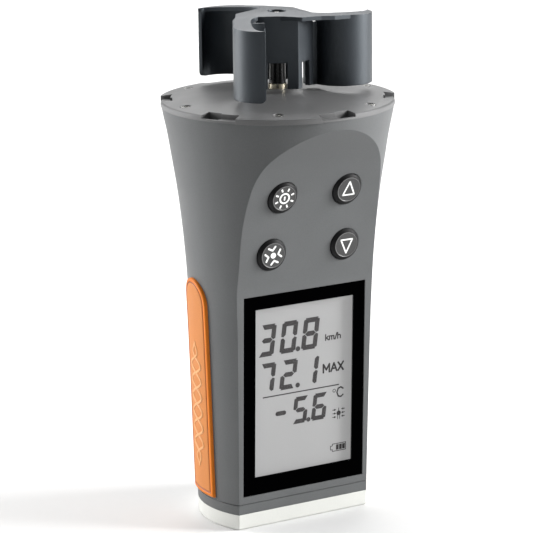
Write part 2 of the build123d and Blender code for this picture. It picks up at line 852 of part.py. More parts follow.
save("rotor", rotor.part)

with BuildPart() as rotor_magnet:
    add(annulus(magnet_radius, sleeve_radius, hub_ceiling, hub_ceiling + magnet_thick))
save("rotor_magnet", rotor_magnet.part)
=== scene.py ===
import json
import math

import bpy
from mathutils import Matrix, Vector
from mathutils.bvhtree import BVHTree


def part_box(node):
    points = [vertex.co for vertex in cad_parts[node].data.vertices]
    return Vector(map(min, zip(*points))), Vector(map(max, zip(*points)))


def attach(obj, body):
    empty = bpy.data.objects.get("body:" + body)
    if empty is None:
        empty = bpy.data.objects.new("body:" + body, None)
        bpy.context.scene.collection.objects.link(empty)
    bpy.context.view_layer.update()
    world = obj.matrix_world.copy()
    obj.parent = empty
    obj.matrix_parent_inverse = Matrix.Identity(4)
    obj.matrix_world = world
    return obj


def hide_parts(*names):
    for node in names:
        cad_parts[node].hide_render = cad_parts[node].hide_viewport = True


MM = 0.001

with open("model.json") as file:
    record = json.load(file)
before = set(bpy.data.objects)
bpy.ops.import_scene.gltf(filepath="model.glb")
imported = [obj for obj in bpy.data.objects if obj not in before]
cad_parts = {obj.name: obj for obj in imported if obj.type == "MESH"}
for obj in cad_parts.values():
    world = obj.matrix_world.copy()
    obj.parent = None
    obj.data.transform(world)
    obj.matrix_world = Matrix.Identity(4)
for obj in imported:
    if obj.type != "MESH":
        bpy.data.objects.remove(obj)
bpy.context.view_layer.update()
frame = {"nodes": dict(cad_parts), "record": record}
nodes = frame["nodes"]


# ---- materials ---------------------------------------------------------------------------
WIDE_SHARE, FINE_SHARE = 0.45, 0.55
RAMP_LOW, RAMP_HIGH = 0.35, 0.65
GLOSS_LOW, GLOSS_HIGH = 0.3, 0.7
LEAST_ROUGH = 0.02
FINE_DETAIL, WIDE_DETAIL = 3.0, 4.0
RELIEF_SHARE = 0.25
BEVEL_SAMPLES = 4
COAT_ROUGH = 0.12
WHITE = (1, 1, 1, 1)


def tint(colour, factor):
    """The colour, lighter or darker, with full alpha."""
    return tuple(min(1.0, c * factor) for c in colour) + (1.0,)


def make_material(name, colour, rough, metallic=0.0, grain=0.4, spread=0.06, bump=0.12,
                  patch=14.0, stretch=(1, 1, 1), rough_spread=0.06, alpha=1.0, coat=0.0,
                  edge=0.0, shine=0.5, painted_glow=0.0, cast=WHITE):
    """A finish with mottled colour, uneven gloss and a bumpy grain.

    Grain, patch and edge are sizes in millimetres. Edge softens corners, painted_glow is painted
    light that brightens the finish whatever the lamps do, and cast colours its highlights.
    """
    made = bpy.data.materials.new(name)
    made.use_nodes = True
    tree = made.node_tree
    shader = tree.nodes["Principled BSDF"]
    place = tree.nodes.new("ShaderNodeTexCoord")
    scaled = tree.nodes.new("ShaderNodeMapping")
    scaled.inputs["Scale"].default_value = stretch
    tree.links.new(place.outputs["Object"], scaled.inputs["Vector"])

    fine = tree.nodes.new("ShaderNodeTexNoise")
    fine.inputs["Scale"].default_value = 1 / (grain * MM)
    fine.inputs["Detail"].default_value = FINE_DETAIL
    wide = tree.nodes.new("ShaderNodeTexNoise")
    wide.inputs["Scale"].default_value = 1 / (patch * MM)
    wide.inputs["Detail"].default_value = WIDE_DETAIL
    for noise in (fine, wide):
        tree.links.new(scaled.outputs["Vector"], noise.inputs["Vector"])

    blend = tree.nodes.new("ShaderNodeMath")
    blend.operation = "MULTIPLY_ADD"
    blend.inputs[1].default_value = WIDE_SHARE
    tree.links.new(wide.outputs["Fac"], blend.inputs[0])
    half = tree.nodes.new("ShaderNodeMath")
    half.operation = "MULTIPLY"
    half.inputs[1].default_value = FINE_SHARE
    tree.links.new(fine.outputs["Fac"], half.inputs[0])
    tree.links.new(half.outputs[0], blend.inputs[2])
    ramp = tree.nodes.new("ShaderNodeValToRGB")
    ramp.color_ramp.elements[0].position = RAMP_LOW
    ramp.color_ramp.elements[1].position = RAMP_HIGH
    ramp.color_ramp.elements[0].color = tint(colour, 1 - spread)
    ramp.color_ramp.elements[1].color = tint(colour, 1 + spread)
    tree.links.new(blend.outputs[0], ramp.inputs["Fac"])
    tree.links.new(ramp.outputs["Color"], shader.inputs["Base Color"])

    gloss = tree.nodes.new("ShaderNodeMapRange")
    gloss.inputs["From Min"].default_value = GLOSS_LOW
    gloss.inputs["From Max"].default_value = GLOSS_HIGH
    gloss.inputs["To Min"].default_value = max(LEAST_ROUGH, rough - rough_spread)
    gloss.inputs["To Max"].default_value = min(1.0, rough + rough_spread)
    tree.links.new(wide.outputs["Fac"], gloss.inputs["Value"])
    tree.links.new(gloss.outputs["Result"], shader.inputs["Roughness"])

    relief = tree.nodes.new("ShaderNodeBump")
    relief.inputs["Strength"].default_value = bump
    relief.inputs["Distance"].default_value = grain * RELIEF_SHARE * MM
    tree.links.new(fine.outputs["Fac"], relief.inputs["Height"])
    if edge > 0:
        soft = tree.nodes.new("ShaderNodeBevel")
        soft.samples = BEVEL_SAMPLES
        soft.inputs["Radius"].default_value = edge * MM
        tree.links.new(soft.outputs["Normal"], relief.inputs["Normal"])
    tree.links.new(relief.outputs["Normal"], shader.inputs["Normal"])

    shader.inputs["Metallic"].default_value = metallic
    shader.inputs["Alpha"].default_value = alpha
    shader.inputs["Specular IOR Level"].default_value = shine
    shader.inputs["Specular Tint"].default_value = cast
    shader.inputs["Coat Weight"].default_value = coat
    # The emission is painted light, not a lamp.
    shader.inputs["Emission Color"].default_value = WHITE
    shader.inputs["Emission Strength"].default_value = painted_glow
    shader.inputs["Coat Roughness"].default_value = COAT_ROUGH
    return made


finish = {
    "case_grey": make_material("case_grey", (0.091, 0.0945, 0.0965), 0.50, grain=0.35, spread=0.08,
                               bump=0.25, edge=0.25, shine=0.35),
    "cover_grey": make_material("cover_grey", (0.115, 0.116, 0.117), 0.46, grain=0.35, spread=0.07,
                                bump=0.2, edge=0.25),
    "end_cap_white": make_material("end_cap_white", (0.60, 0.605, 0.575), 0.40, grain=0.5,
                                   spread=0.025, bump=0.08, edge=0.4),
    "seal_black": make_material("seal_black", (0.02, 0.02, 0.02), 0.7, grain=0.3, bump=0.3),
    "steel": make_material("steel", (0.62, 0.62, 0.60), 0.26, metallic=1.0, grain=0.12,
                           spread=0.10, bump=0.15, stretch=(1, 1, 0.15)),
    "brass": make_material("brass", (0.70, 0.64, 0.50), 0.30, metallic=1.0, grain=0.10,
                           spread=0.12, bump=0.15, stretch=(0.2, 0.2, 1)),
    "window_clear": make_material("window_clear", (0.010, 0.011, 0.012), 0.06, grain=2.5,
                                  spread=0.05, bump=0.01, rough_spread=0.02, alpha=0.05,
                                  shine=0.3),
    "mask_black": make_material("mask_black", (0.0004, 0.0004, 0.0005), 0.6, grain=0.4,
                                spread=0.2, bump=0.05, shine=0.0),
    # The display's grey is its own colour. Its glow is painted light that lifts the shade the
    # window frame casts on the recessed display.
    "lcd_grey": make_material("lcd_grey", (0.130, 0.130, 0.131), 0.60, grain=0.25, spread=0.05,
                              bump=0.03, patch=20, painted_glow=0.31),
    "rubber_internal": make_material("rubber_internal", (0.08, 0.08, 0.085), 0.75, grain=0.3,
                                     bump=0.3),
    "plastic_internal": make_material("plastic_internal", (0.06, 0.06, 0.062), 0.5, grain=0.4),
    "diffuser_white": make_material("diffuser_white", (0.78, 0.78, 0.76), 0.5, grain=0.8,
                                    spread=0.03),
    "board_green": make_material("board_green", (0.02, 0.11, 0.05), 0.35, grain=0.6,
                                 spread=0.22, coat=0.3),
    "button_black": make_material("button_black", (0.006, 0.006, 0.0065), 0.5, grain=0.25,
                                  spread=0.15, bump=0.3, shine=0.2),
    "chip_black": make_material("chip_black", (0.018, 0.018, 0.019), 0.55, grain=0.15,
                                spread=0.2, bump=0.2),
    "ribbon_brown": make_material("ribbon_brown", (0.26, 0.11, 0.03), 0.4, grain=0.5,
                                  spread=0.15, stretch=(1, 1, 0.1)),
    "cell_jacket": make_material("cell_jacket", (0.05, 0.09, 0.20), 0.3, grain=0.5, spread=0.08,
                                 coat=0.5),
    "grip_orange": make_material("grip_orange", (0.60, 0.160, 0.010), 0.55, grain=0.3,
                                 spread=0.07, bump=0.25, shine=0.2),
    "sleeve_black": make_material("sleeve_black", (0.0015, 0.0015, 0.0018), 0.30, grain=0.4,
                                  spread=0.2, bump=0.04, shine=0.35),
    "rotor_charcoal": make_material("rotor_charcoal", (0.0068, 0.0086, 0.0120), 0.42, grain=0.35,
                                    spread=0.16, bump=0.3, edge=0.35, shine=0.72,
                                    cast=(0.84, 0.93, 1.0, 1)),
    "magnet_dark": make_material("magnet_dark", (0.05, 0.05, 0.055), 0.35, metallic=0.6,
                                 grain=0.3, spread=0.1),
}
panel_orange = make_material("grip_panel_orange", (0.52, 0.190, 0.050), 0.66, grain=0.3,
                             spread=0.07, bump=0.3, shine=0.25)
groove_orange = make_material("grip_groove_orange", (0.26, 0.055, 0.007), 0.6, grain=0.3,
                              spread=0.06, bump=0.2)
# The wave is raised, and its paler orange is a painted highlight on those raised strokes.
wave_orange = make_material("grip_wave_orange", (0.66, 0.31, 0.11), 0.5, grain=0.3,
                            spread=0.06, bump=0.2)
face_grey = make_material("button_face_grey", (0.030, 0.030, 0.030), 0.5, grain=0.2,
                          spread=0.2, bump=0.3)
rim_grey = make_material("button_rim_grey", (0.11, 0.11, 0.11), 0.4, grain=0.2)
icon_white = make_material("icon_white", (0.85, 0.85, 0.84), 0.5, grain=0.2, spread=0.03)
segment_dark = make_material("segment_dark", (0.022, 0.019, 0.020), 0.6, grain=0.2,
                             spread=0.08, bump=0.02)

slot_of = {entry["node"]: entry["material_slot"] for entry in frame["record"]["subparts"]}
for name, obj in nodes.items():
    slot = slot_of[name]
    obj.data.materials.clear()
    obj.data.materials.append(finish[slot])


# ---- helpers for meshes ------------------------------------------------------------------
def new_piece(name, points, faces, looks, body, which=None, smooth=False):
    """A mesh object in the row frame that rides a CAD body."""
    mesh = bpy.data.meshes.new(name)
    mesh.from_pydata([tuple(p) for p in points], [], faces)
    for look in looks:
        mesh.materials.append(look)
    if which:
        mesh.polygons.foreach_set("material_index", which)
    if smooth:
        mesh.polygons.foreach_set("use_smooth", [True] * len(faces))
    mesh.validate()
    mesh.update()
    obj = bpy.data.objects.new(name, mesh)
    bpy.context.scene.collection.objects.link(obj)
    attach(obj, body)
    return obj


def node_tree_of(name):
    """A ray-casting tree of a CAD node."""
    mesh = nodes[name].data
    return BVHTree.FromPolygons([v.co for v in mesh.vertices], [p.vertices for p in mesh.polygons])


FORWARD = -0.85
LEVEL_STEP = 0.05 * MM


def front_plane(name):
    """The largest flat face that looks forwards on a node.

    Gives its centre, normal, two directions along it and its half sizes.
    """
    mesh = nodes[name].data
    shares = {}
    for face in mesh.polygons:
        if face.normal.y < FORWARD:
            key = (round(face.normal.x, 2), round(face.normal.y, 2), round(face.normal.z, 2),
                   round(face.center.dot(face.normal) / LEVEL_STEP))
            shares.setdefault(key, []).append(face)
    best = max(shares.values(), key=lambda group: sum(f.area for f in group))
    normal = sum((f.normal * f.area for f in best), Vector()).normalized()
    corners = [mesh.vertices[i].co for f in best for i in f.vertices]
    across = Vector((1, 0, 0))
    upward = normal.cross(across).normalized()
    if upward.z < 0:
        upward = -upward
    xs = [c.dot(across) for c in corners]
    ups = [c.dot(upward) for c in corners]
    level = best[0].center.dot(normal)
    middle_x = (min(xs) + max(xs)) / 2
    middle_up = (min(ups) + max(ups)) / 2
    centre = across * middle_x + upward * middle_up + normal * level
    return centre, normal, across, upward, (max(xs) - min(xs)) / 2, (max(ups) - min(ups)) / 2


END_STEPS = 6


class Sheet:
    """Thin raised shapes drawn on a plane, gathered into one mesh. Sizes are in millimetres."""

    def __init__(self, centre, normal, across, upward, lift, thick):
        self.centre, self.normal = centre, normal
        self.across, self.upward = across, upward
        self.lift, self.thick = lift * MM, thick * MM
        self.points, self.faces = [], []

    def at(self, x, y, height):
        """The place of x and y on the plane, raised by height in metres."""
        return (self.centre + self.across * (x * MM) + self.upward * (y * MM)
                + self.normal * height)

    def prism(self, outline):
        """A raised flat shape with upright sides from a convex outline."""
        start, count = len(self.points), len(outline)
        signed = sum(a[0] * b[1] - b[0] * a[1] for a, b in zip(outline, outline[1:] + outline[:1]))
        if signed < 0:
            outline = outline[::-1]
        self.points += [self.at(x, y, self.lift + self.thick) for x, y in outline]
        self.points += [self.at(x, y, self.lift) for x, y in outline]
        self.faces.append(tuple(range(start, start + count)))
        self.faces.append(tuple(range(start + 2 * count - 1, start + count - 1, -1)))
        for i in range(count):
            j = (i + 1) % count
            self.faces.append((start + i, start + count + i, start + count + j, start + j))

    def stroke(self, a, b, width, round_end=True):
        """A straight line with rounded or square ends."""
        dx, dy = b[0] - a[0], b[1] - a[1]
        angle = math.atan2(dy, dx)
        if not round_end:
            sx, sy = -math.sin(angle) * width / 2, math.cos(angle) * width / 2
            self.prism([(a[0] + sx, a[1] + sy), (a[0] - sx, a[1] - sy),
                        (b[0] - sx, b[1] - sy), (b[0] + sx, b[1] + sy)])
            return
        outline = []
        for end, turn in ((b, -90), (a, 90)):
            for step in range(END_STEPS + 1):
                t = angle + math.radians(turn + step * 180 / END_STEPS)
                outline.append((end[0] + math.cos(t) * width / 2,
                                end[1] + math.sin(t) * width / 2))
        self.prism(outline)

    def path(self, places, width, closed=False):
        """A run of round-ended strokes through several places."""
        ends = places + places[:1] if closed else places
        for a, b in zip(ends, ends[1:]):
            self.stroke(a, b, width)

    def disc(self, x, y, radius, count=28):
        """A flat round shape."""
        self.prism([(x + radius * math.cos(2 * math.pi * i / count),
                     y + radius * math.sin(2 * math.pi * i / count)) for i in range(count)])

    def ring(self, x, y, radius, width, count=40):
        """A flat ring made of short wedges."""
        inner, outer = radius - width / 2, radius + width / 2
        for i in range(count):
            a = 2 * math.pi * i / count
            b = 2 * math.pi * (i + 1) / count
            self.prism([(x + inner * math.cos(a), y + inner * math.sin(a)),
                        (x + outer * math.cos(a), y + outer * math.sin(a)),
                        (x + outer * math.cos(b), y + outer * math.sin(b)),
                        (x + inner * math.cos(b), y + inner * math.sin(b))])

    def done(self, name, look, body, slot=None):
        """Make the gathered shapes into one object."""
        return new_piece(name, self.points, self.faces, [look], body)


# ---- display -----------------------------------------------------------------------------
SEGMENTS = {"0": "abcdef", "1": "bc", "2": "abged", "3": "abgcd", "5": "afgcd", "6": "afgedc",
            "7": "abc", "8": "abcdefg"}
SLANT = 0.12
# The gap between bars and how their ends are cut, as shares of a bar's width or half width.
BAR_GAP = 0.08
OUTER_TRIM, INNER_TRIM, UPRIGHT_CUT, UPRIGHT_END = 0.5, 0.7, 0.4, 0.3


def digit(sheet, character, x, y, wide, high, bar):
    """One slanted seven-segment figure with its lower left corner at x, y."""
    mid, gap = high / 2, bar * BAR_GAP
    half = bar / 2

    def lean(point):
        """A place in the figure, slanted."""
        return (x + point[0] + SLANT * point[1], y + point[1])

    def flat_bar(level, trim):
        """A level bar, pointed at both ends or trimmed on one side."""
        left, right = half + gap, wide - half - gap
        if trim == 0:
            outline = [(left, level), (left + half, level + half), (right - half, level + half),
                       (right, level), (right - half, level - half), (left + half, level - half)]
        else:
            near, far = level + trim * half, level - trim * half
            outline = [(left - half * OUTER_TRIM, near), (right + half * OUTER_TRIM, near),
                       (right - half * INNER_TRIM, far), (left + half * INNER_TRIM, far)]
        sheet.prism([lean(p) for p in outline])

    def upright(column, low, top, side):
        """An upright bar with its straight edge on the given side."""
        near, far = column + side * half, column - side * half
        cut = half * UPRIGHT_CUT
        outline = [(near, low + cut), (near, top - cut), (column, top), (far, top - half),
                   (far, low + half), (column, low)]
        sheet.prism([lean(p) for p in outline])

    lit = SEGMENTS[character]
    top = high - gap - half * UPRIGHT_END
    bottom = gap + half * UPRIGHT_END
    if "a" in lit:
        flat_bar(high - half, 1)
    if "g" in lit:
        flat_bar(mid, 0)
    if "d" in lit:
        flat_bar(half, -1)
    if "f" in lit:
        upright(half, mid + gap, top, -1)
    if "b" in lit:
        upright(wide - half, mid + gap, top, 1)
    if "e" in lit:
        upright(half, bottom, mid - gap, -1)
    if "c" in lit:
        upright(wide - half, bottom, mid - gap, 1)


GLYPHS = {
    "k": [[(0, 0), (0, 1)], [(0.5, 0.66), (0.05, 0.3)], [(0.2, 0.38), (0.55, 0)]],
    "m": [[(0, 0), (0, 0.66), (0.4, 0.62), (0.42, 0)], [(0.42, 0.6), (0.8, 0.62), (0.84, 0)]],
    "/": [[(0, -0.05), (0.35, 1.05)]],
    "h": [[(0, 0), (0, 1)], [(0, 0.55), (0.3, 0.66), (0.5, 0.5), (0.5, 0)]],
    "M": [[(0, 0), (0, 1), (0.42, 0.3), (0.84, 1), (0.84, 0)]],
    "A": [[(0, 0), (0.4, 1), (0.8, 0)], [(0.16, 0.34), (0.64, 0.34)]],
    "X": [[(0, 0), (0.7, 1)], [(0, 1), (0.7, 0)]],
    "C": [[(0.7, 0.82), (0.45, 1), (0.15, 0.9), (0, 0.5), (0.15, 0.1), (0.45, 0), (0.7, 0.18)]],
}
ADVANCE = {"k": 0.75, "m": 1.05, "/": 0.5, "h": 0.75, "M": 1.08, "A": 1.0, "X": 0.95, "C": 0.9}


def word(sheet, letters, x, y, high, bar, stretch):
    """A unit sign made of strokes, from its lower left corner."""
    for letter in letters:
        for run in GLYPHS[letter]:
            sheet.path([(x + px * high * stretch, y + py * high) for px, py in run], bar)
        x += ADVANCE[letter] * high * stretch


VIEW_WIDE, VIEW_HIGH, VIEW_SHIFT = 35.8, 56.3, 0.8
FIGURE_LIFT, FIGURE_THICK = 0.01, 0.03
THIN, LINE, THICK = 0.22, 0.4, 1.5
POINT_RADIUS, POINT_HEIGHT, DEGREE_RADIUS = 0.52, 0.5, 0.5
# Each row: its text, left and bottom shares, pitch, width, height and bar width.
ROWS = (
    ("308", 0.025, 0.295, 8.05, 5.9, 10.6, 1.65),
    ("721", 0.025, 0.512, 8.05, 5.9, 9.9, 1.6),
    ("56", 0.385, 0.731, 7.2, 5.4, 9.1, 1.5),
)
# Each sign: its letters, left and bottom shares, height, line width and stretch.
SIGNS = (
    ("km/h", 0.735, 0.258, 1.9, 0.42, 1.05),
    ("MAX", 0.715, 0.451, 2.7, 0.62, 1.0),
    ("C", 0.862, 0.614, 3.3, 0.50, 1.0),
)
lcd = front_plane("lcd_panel")
figures = Sheet(*lcd[:4], FIGURE_LIFT, FIGURE_THICK)


def spot(across_share, down_share):
    """A place on the display from its share of the way across and down the window."""
    return ((across_share - 0.5) * VIEW_WIDE + VIEW_SHIFT, (0.5 - down_share) * VIEW_HIGH)


def reading(text, left, bottom, pitch, wide, high, bar):
    """A row of figures with a point before the last one."""
    x, y = spot(left, bottom)
    for place, character in enumerate(text):
        digit(figures, character, x + place * pitch, y, wide, high, bar)
    point_x = x + (len(text) - 1) * pitch - (pitch - wide) / 2
    figures.disc(point_x, y + bar * POINT_HEIGHT, bar * POINT_RADIUS, 16)


for row in ROWS:
    reading(*row)
# The minus sign, the dividing line, the unit signs and the degree ring.
figures.stroke(spot(0.235, 0.650), spot(0.305, 0.650), THICK)
figures.stroke(spot(0.083, 0.5385), spot(0.883, 0.5385), LINE, False)
for letters, left, bottom, high, bar, stretch in SIGNS:
    word(figures, letters, *spot(left, bottom), high, bar, stretch)
figures.ring(*spot(0.832, 0.572), DEGREE_RADIUS, THIN, 20)

# The wind symbol: three lines of air on either side of a small meter.
AIR_GAP, AIR_NEAR, AIR_FAR, AIR_DOT, AIR_DOT_RADIUS = 1.25, 1.1, 2.3, 1.55, 0.32
METER_RADIUS, LEG_SIDE, LEG_TOP, LEG_FOOT, MAST_FOOT, MAST_TOP = 0.8, 0.4, -0.6, -2.0, 0.5, 1.7
wind_x, wind_y = spot(0.883, 0.712)
for air in (-AIR_GAP, 0.0, AIR_GAP):
    level = wind_y + air
    for side in (-1, 1):
        figures.stroke((wind_x + side * AIR_NEAR, level), (wind_x + side * AIR_FAR, level), THIN)
        figures.disc(wind_x + side * AIR_DOT, level, AIR_DOT_RADIUS, 12)
figures.disc(wind_x, wind_y, METER_RADIUS, 20)
for leg in (-LEG_SIDE, LEG_SIDE):
    figures.stroke((wind_x + leg, wind_y + LEG_TOP), (wind_x + leg, wind_y + LEG_FOOT), THIN)
figures.stroke((wind_x, wind_y + MAST_FOOT), (wind_x, wind_y + MAST_TOP), THIN)

# The battery symbol: a case with its nub at the left and three bars.
CELL_LEFT, CELL_RIGHT, CELL_HALF, NUB_LEFT, NUB_HALF = -2.1, 3.0, 1.25, -2.8, 0.65
CELL_LINE, CELL_BAR, CELL_BAR_HALF = 0.24, 1.0, 0.9
CELL_BAR_PLACES = (-0.2, 1.0, 2.2)
cell_x, cell_y = spot(0.878, 0.920)
case_outline = [(CELL_LEFT, -CELL_HALF), (CELL_RIGHT, -CELL_HALF), (CELL_RIGHT, CELL_HALF),
                (CELL_LEFT, CELL_HALF)]
nub_outline = [(CELL_LEFT, CELL_HALF), (CELL_LEFT, NUB_HALF), (NUB_LEFT, NUB_HALF),
               (NUB_LEFT, -NUB_HALF), (CELL_LEFT, -NUB_HALF), (CELL_LEFT, -CELL_HALF)]
for outline in (case_outline, nub_outline):
    figures.path([(cell_x + x, cell_y + y) for x, y in outline], CELL_LINE)
for bar_x in CELL_BAR_PLACES:
    figures.stroke((cell_x + bar_x, cell_y - CELL_BAR_HALF),
                   (cell_x + bar_x, cell_y + CELL_BAR_HALF), CELL_BAR, False)
figures.done("lcd_figures", segment_dark, "case", "mask_black")

# The black border printed on the front of the lens.
PRINT_WIDE, PRINT_HIGH, PRINT_THICK, PRINT_INSET = 18.15, 28.2, 0.015, 0.1
pane = front_plane("display_window")
border = Sheet(*pane[:4], 0.0, PRINT_THICK)
out_x, out_y = pane[4] / MM - PRINT_INSET, pane[5] / MM - PRINT_INSET
drop = (lcd[0] - pane[0]).dot(pane[3]) / MM
for side in (-1, 1):
    border.prism([(side * PRINT_WIDE, -out_y), (side * out_x, -out_y), (side * out_x, out_y),
                  (side * PRINT_WIDE, out_y)])
border.prism([(-PRINT_WIDE, -out_y), (PRINT_WIDE, -out_y), (PRINT_WIDE, drop - PRINT_HIGH),
              (-PRINT_WIDE, drop - PRINT_HIGH)])
border.prism([(-PRINT_WIDE, drop + PRINT_HIGH), (PRINT_WIDE, drop + PRINT_HIGH),
              (PRINT_WIDE, out_y), (-PRINT_WIDE, out_y)])
border.done("window_print", finish["mask_black"], "case", "mask_black")


# ---- buttons -----------------------------------------------------------------------------
# The face's section: shares of its radius and heights in millimetres, from inside to outside.
FACE_TOP, FACE_INSET = 0.06, 0.05
FACE_RINGS = ((0.5, 0.06), (0.86, 0.05), (0.93, 0.04), (0.955, 0.11), (0.985, 0.11), (1.0, 0.0))
RIM_FROM = 2
FACE_STEPS = 48
ICON_LIFT, ICON_THICK = 0.05, 0.06


def button_marks(node, body):
    """The raised grey face, its fine rim and an empty sheet for the icon."""
    centre, normal, across, upward, half_wide = front_plane(node)[:5]
    face_radius = half_wide / MM - FACE_INSET
    points, faces, which = [centre + normal * (FACE_TOP * MM)], [], []
    count = FACE_STEPS
    for share, height in FACE_RINGS:
        for i in range(count):
            a = 2 * math.pi * i / count
            points.append(centre + across * (math.cos(a) * share * face_radius * MM)
                          + upward * (math.sin(a) * share * face_radius * MM)
                          + normal * (height * MM))
    for i in range(count):
        j = (i + 1) % count
        faces.append((0, 1 + i, 1 + j))
        which.append(0)
    for ring in range(len(FACE_RINGS) - 1):
        for i in range(count):
            j = (i + 1) % count
            base = 1 + ring * count
            faces.append((base + i, base + count + i, base + count + j, base + j))
            which.append(1 if ring >= RIM_FROM else 0)
    new_piece(node + "_face", points, faces, [face_grey, rim_grey], body, which)
    return Sheet(centre, normal, across, upward, ICON_LIFT, ICON_THICK)


def polar(radius, degrees):
    """A place at a distance and angle from the middle of a button."""
    a = math.radians(degrees)
    return (radius * math.cos(a), radius * math.sin(a))


# A lamp with eight rays.
LAMP_RADIUS, LAMP_LINE, LAMP_HALF = 1.6, 0.56, 0.45
RAY_LINE, RAY_FROM, RAY_TO, RAY_COUNT = 0.55, 2.45, 3.5, 8
power = button_marks("power_button", "power_key")
power.ring(0, 0, LAMP_RADIUS, LAMP_LINE)
power.stroke((0, -LAMP_HALF), (0, LAMP_HALF), RAY_LINE)
for i in range(RAY_COUNT):
    ray = 360 / RAY_COUNT * (i + 0.5)
    power.stroke(polar(RAY_FROM, ray), polar(RAY_TO, ray), RAY_LINE, False)
power.done("power_button_icon", icon_white, "power_key")

# A dot with four arrowheads that point at it.
DOT_RADIUS, HEAD_TIP, HEAD_BACK, HEAD_TURN, HEAD_SPREAD, HEAD_LINE = 0.95, 1.75, 3.0, 12, 24, 0.62
average = button_marks("average_button", "average_key")
average.disc(0, 0, DOT_RADIUS)
for i in range(4):
    head = 90 * i + HEAD_TURN
    for side in (-1, 1):
        average.stroke(polar(HEAD_TIP, head), polar(HEAD_BACK, head + side * HEAD_SPREAD),
                       HEAD_LINE)
average.done("average_button_icon", icon_white, "average_key")

# Hollow triangles that point up and down.
ARROW_TIP, ARROW_FOOT, ARROW_HALF, ARROW_LINE = 2.75, -1.75, 2.1, 0.50
for node, body, way in (("up_button", "up_key", 1), ("down_button", "down_key", -1)):
    arrow = button_marks(node, body)
    arrow.path([(0, ARROW_TIP * way), (ARROW_HALF, ARROW_FOOT * way),
                (-ARROW_HALF, ARROW_FOOT * way)], ARROW_LINE, True)
    arrow.done(node + "_icon", icon_white, body)


# ---- grips -------------------------------------------------------------------------------
FOOT_STEPS, SIDE_STEPS, BEND_STEPS = 10, 44, 24
LEAST_HALF = 0.02
# The pad's section: distances in from its edge and heights, in millimetres, up to the panel.
GRIP_SECTION = (
    (0.02, -1.6), (0.02, -0.35), (0.12, -0.12), (0.35, 0.0), (1.15, 0.0), (1.25, -0.22),
    (1.5, -0.26), (1.6, -0.06), (2.2, -0.04), (3.6, -0.03), (5.4, -0.03), (7.0, -0.03),
)
PANEL_HEIGHT, PANEL_LAST = -0.03, 0.05
BORDER_RINGS, GROOVE_RINGS = 4, 7
BORDER, PANEL, GROOVE = 0, 1, 2
RAY_START = 0.1
RAY_SHIFTS = (0.0, 0.05, 0.12, 0.3, 0.6)
RAY_SHIFT_Y, RAY_SHIFT_Z = 0.05, 0.02
PROBE_Y, PROBE_Z = 0.985, 0.3
# The double wave that stands proud of the panel. Its paler orange is a painted highlight on the
# raised strokes.
WAVE_LOW, WAVE_LONG, WAVE_SWING, WAVE_BENDS, WAVE_FADE, WAVE_STEPS = 9, 42, 3.4, 8, 6, 144
WAVE_SECTION = ((-0.5, -0.06), (-0.26, 0.2), (0.26, 0.2), (0.5, -0.06))


def grip_outline(inset, low, shoulder, centre_y, half):
    """Places round a pad: flat bottom, straight sides and a half-round top, moved inwards."""
    width = max(half - inset, LEAST_HALF * MM)
    floor = low + min(inset, half)
    places = []
    for i in range(FOOT_STEPS):
        places.append((centre_y - width + 2 * width * i / FOOT_STEPS, floor))
    for i in range(SIDE_STEPS):
        places.append((centre_y + width, floor + (shoulder - floor) * i / SIDE_STEPS))
    for i in range(BEND_STEPS):
        a = math.pi * i / BEND_STEPS
        places.append((centre_y + width * math.cos(a), shoulder + width * math.sin(a)))
    for i in range(SIDE_STEPS):
        places.append((centre_y - width, shoulder + (floor - shoulder) * i / SIDE_STEPS))
    return places


def grip_surface(node):
    """A function from y and z to the outer x of a CAD grip, the way it faces, and its box."""
    tree = node_tree_of(node)
    low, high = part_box(node)
    side = 1 if low.x + high.x > 0 else -1
    mid_y, mid_z = (low.y + high.y) / 2, (low.z + high.z) / 2

    def outer(y, z):
        """The outer x at y and z, or at the nearest place inwards that a ray meets."""
        for shift in RAY_SHIFTS:
            near_y = y + (mid_y - y) * shift * RAY_SHIFT_Y
            near_z = z + (mid_z - z) * shift * RAY_SHIFT_Z
            hit = tree.ray_cast(Vector((side * RAY_START, near_y, near_z)),
                                Vector((-side, 0, 0)))
            if hit[0]:
                return hit[0].x
        return high.x if side > 0 else low.x

    return outer, side, low, high


